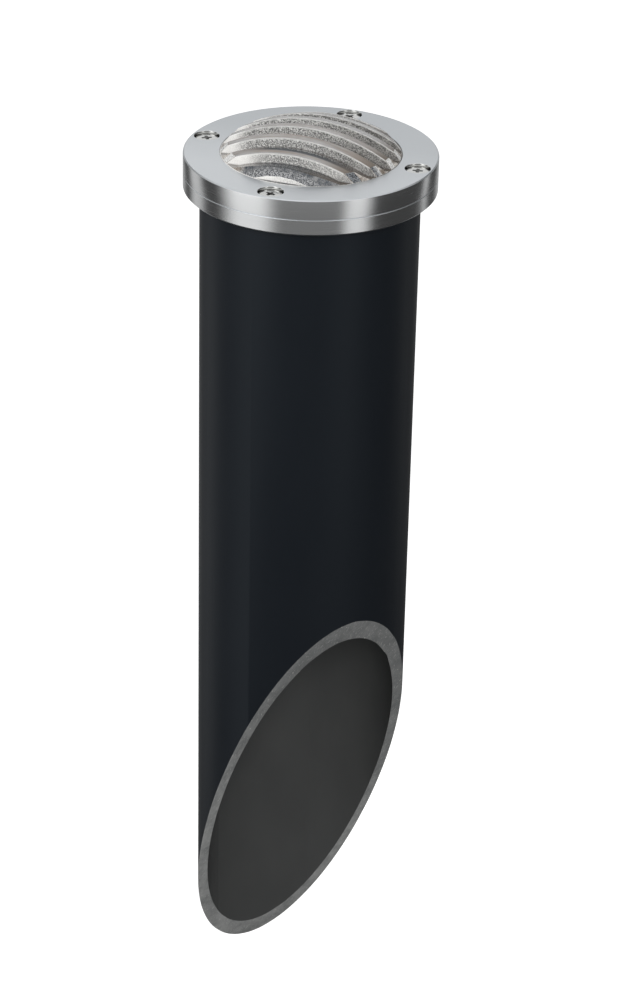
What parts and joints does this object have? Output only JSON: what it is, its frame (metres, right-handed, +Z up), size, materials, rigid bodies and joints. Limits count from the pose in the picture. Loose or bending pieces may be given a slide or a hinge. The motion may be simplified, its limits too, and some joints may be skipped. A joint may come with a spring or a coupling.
{
  "type": "in ground well light",
  "caption": "In ground well light: steel trim ring and stepped glass lens over a gimballed lamp canister in a slant-cut buried sleeve.",
  "frame": {"origin": "on the axis at ground level, centre of the flange ring's underside", "axes": "+Z up along the axis out of the ground; the lens steps run along X and their risers face -Y; the slanted end opens towards azimuth -41 degrees"},
  "size_m": [0.0862, 0.0862, 0.3561],
  "materials": {
    "black_pipe": "satin extruded PVC-U, sawn at the slanted end",
    "brushed_stainless": "turned and satin brushed stainless steel",
    "bright_stainless": "bright stainless steel",
    "lens_glass": "pressed clear glass with frosted step risers",
    "black_rubber": "moulded silicone and nitrile rubber",
    "canister_plastic": "moulded glass filled nylon",
    "white_nylon": "moulded nylon",
    "bare_aluminium": "bead blasted aluminium",
    "spring_steel": "plated spring steel",
    "lamp_mirror": "dichroic faceted reflector",
    "lamp_glass": "clear lamp glass",
    "cream_ceramic": "glazed ceramic",
    "pin_brass": "plain brass",
    "gland_nylon": "moulded nylon"
  },
  "bodies": {
    "sleeve": {"ground_sleeve": "black_pipe"},
    "seals": {"barrel_o_rings": "black_rubber"},
    "head": {"flange_ring": "brushed_stainless", "lamp_canister": "canister_plastic", "glide_washer": "white_nylon", "snap_ring": "spring_steel", "terminal_block": "white_nylon", "terminal_inserts": "pin_brass", "terminal_screws": "spring_steel", "block_screw": "spring_steel", "gland_body": "gland_nylon", "gland_seal": "black_rubber", "gland_locknut": "gland_nylon", "gland_grip": "black_rubber", "gland_cap_nut": "gland_nylon"},
    "cover": {"trim_ring": "brushed_stainless", "cover_screws": "bright_stainless", "lens": "lens_glass", "upper_gasket": "black_rubber", "lower_gasket": "black_rubber"},
    "swivel": {"swivel_ring": "bare_aluminium", "pivot_washers": "spring_steel"},
    "lamp": {"lamp_cradle": "bare_aluminium", "tilt_pivots": "bright_stainless", "lamp_clip": "spring_steel", "lamp_reflector": "lamp_mirror", "lamp_front_glass": "lamp_glass", "lamp_burner": "lamp_glass", "lamp_base": "cream_ceramic", "lamp_pins": "pin_brass", "lampholder": "cream_ceramic"}
  },
  "joints": [
    {"name": "head_lift", "type": "slide", "parent": "sleeve", "child": "seals", "axis": [0, 0, 1], "range_m": [0, 0.125]},
    {"name": "head_turn", "type": "hinge", "parent": "seals", "child": "head", "pos_m": [0, 0, 0], "axis": [0, 0, 1], "continuous": true},
    {"name": "cover_lift", "type": "slide", "parent": "head", "child": "cover", "axis": [0, 0, 1], "range_m": [0, 0.04]},
    {"name": "lamp_swivel", "type": "hinge", "parent": "head", "child": "swivel", "pos_m": [0, 0, -0.01], "axis": [0, 0, 1], "range_deg": [-175, 175]},
    {"name": "lamp_tilt", "type": "hinge", "parent": "swivel", "child": "lamp", "pos_m": [0, 0, -0.00325], "axis": [1, 0, 0], "range_deg": [-15, 15]}
  ]
}
